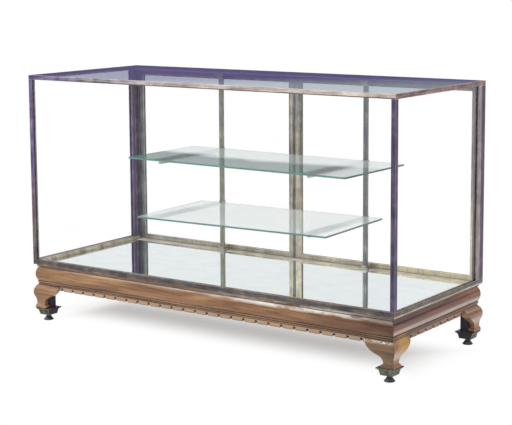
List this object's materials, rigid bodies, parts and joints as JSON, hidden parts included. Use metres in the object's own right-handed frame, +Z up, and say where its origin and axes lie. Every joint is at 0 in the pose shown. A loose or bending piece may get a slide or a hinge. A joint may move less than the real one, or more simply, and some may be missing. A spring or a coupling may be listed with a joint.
{
  "type": "display cabinet",
  "caption": "Low glazed shop display cabinet with hinged back doors, adjustable glass shelves and a mirror floor, on a moulded wooden base with ogee bracket feet",
  "frame": {"origin": "on the floor, under the middle of the cabinet's bounding box", "axes": "+X to the right seen from the front, +Y towards the back doors, +Z up"},
  "size_m": [1.527, 0.6375, 0.91],
  "materials": {
    "mahogany": "polished dark red-brown mahogany",
    "pine_board": "bare planed pine",
    "mirror_silver": "silvered plate glass",
    "verdigris_brass": "brass with green verdigris",
    "black_iron": "blackened iron",
    "tarnished_frame": "nickel-plated brass with a purple-grey tarnish",
    "cream_paint": "cream stove enamel",
    "clear_glass": "clear plate glass",
    "bead_brass": "dull golden brass",
    "fitting_brass": "worn brass",
    "standard_steel": "dull nickel-plated steel",
    "polished_nickel": "bright nickel plate",
    "shelf_glass": "plate glass with green polished edges"
  },
  "bodies": {
    "case": {"base_rail_front": "mahogany", "base_rail_right": "mahogany", "base_rail_back": "mahogany", "base_rail_left": "mahogany", "dentil_strips": "mahogany", "foot_front_left": "mahogany", "foot_front_right": "mahogany", "foot_back_right": "mahogany", "foot_back_left": "mahogany", "deck_board": "pine_board", "foot_blocks": "pine_board", "mirror_plate": "mirror_silver", "foot_shoes": "verdigris_brass", "sill_front": "tarnished_frame", "sill_right": "tarnished_frame", "sill_left": "tarnished_frame", "post_front_left": "tarnished_frame", "post_front_right": "tarnished_frame", "post_back_right": "tarnished_frame", "post_back_left": "tarnished_frame", "top_rail_front": "tarnished_frame", "top_rail_right": "tarnished_frame", "top_rail_back": "tarnished_frame", "top_rail_left": "tarnished_frame", "threshold": "cream_paint", "glass_top": "clear_glass", "glass_front": "clear_glass", "glass_right": "clear_glass", "glass_left": "clear_glass", "mirror_beads": "bead_brass", "glazing_beads": "bead_brass", "door_stops": "bead_brass", "hinge_post_leaves": "fitting_brass", "hinge_pins": "fitting_brass", "bolt_keeper": "fitting_brass", "standard_left": "standard_steel", "standard_right": "standard_steel", "standard_flanges": "polished_nickel"},
    "door_left": {"door_frame_left": "tarnished_frame", "door_glass_left": "clear_glass", "door_beads_left": "bead_brass", "hinge_leaves_left": "fitting_brass", "bolt_plate": "fitting_brass"},
    "door_right": {"door_frame_right": "tarnished_frame", "door_glass_right": "clear_glass", "door_beads_right": "bead_brass", "hinge_leaves_right": "fitting_brass"},
    "latch": {"latch_knob": "fitting_brass", "latch_tongue": "fitting_brass"},
    "bolt": {"bolt_rod": "fitting_brass"},
    "upper_shelf": {"brackets_upper": "polished_nickel", "shelf_upper": "shelf_glass"},
    "lower_shelf": {"brackets_lower": "polished_nickel", "shelf_lower": "shelf_glass"},
    "foot_screw_front_left": {"leveller_front_left": "black_iron"},
    "foot_screw_front_right": {"leveller_front_right": "black_iron"},
    "foot_screw_back_right": {"leveller_back_right": "black_iron"},
    "foot_screw_back_left": {"leveller_back_left": "black_iron"}
  },
  "joints": [
    {"name": "left_door_hinge", "type": "hinge", "parent": "case", "child": "door_left", "pos_m": [-0.74525, 0.30055, 0.555], "axis": [0, 0, 1], "range_deg": [0, 110]},
    {"name": "right_door_hinge", "type": "hinge", "parent": "case", "child": "door_right", "pos_m": [0.74525, 0.30055, 0.555], "axis": [0, 0, -1], "range_deg": [0, 110]},
    {"name": "latch_turn", "type": "hinge", "parent": "door_right", "child": "latch", "pos_m": [0.007, 0.29675, 0.5845], "axis": [0, 1, 0], "range_deg": [0, 90]},
    {"name": "bolt_slide", "type": "slide", "parent": "door_left", "child": "bolt", "axis": [0, 0, 1], "range_m": [0, 0.012]},
    {"name": "upper_shelf_height", "type": "slide", "parent": "case", "child": "upper_shelf", "axis": [0, 0, 1], "range_m": [-0.05, 0.2]},
    {"name": "lower_shelf_height", "type": "slide", "parent": "case", "child": "lower_shelf", "axis": [0, 0, 1], "range_m": [-0.14, 0.05]},
    {"name": "foot_screw_turn_front_left", "type": "hinge", "parent": "case", "child": "foot_screw_front_left", "pos_m": [-0.726, -0.28125, 0.02], "axis": [0, 0, 1], "continuous": true},
    {"name": "foot_screw_turn_front_right", "type": "hinge", "parent": "case", "child": "foot_screw_front_right", "pos_m": [0.726, -0.28125, 0.02], "axis": [0, 0, 1], "continuous": true},
    {"name": "foot_screw_turn_back_right", "type": "hinge", "parent": "case", "child": "foot_screw_back_right", "pos_m": [0.726, 0.26075, 0.02], "axis": [0, 0, 1], "continuous": true},
    {"name": "foot_screw_turn_back_left", "type": "hinge", "parent": "case", "child": "foot_screw_back_left", "pos_m": [-0.726, 0.26075, 0.02], "axis": [0, 0, 1], "continuous": true}
  ]
}
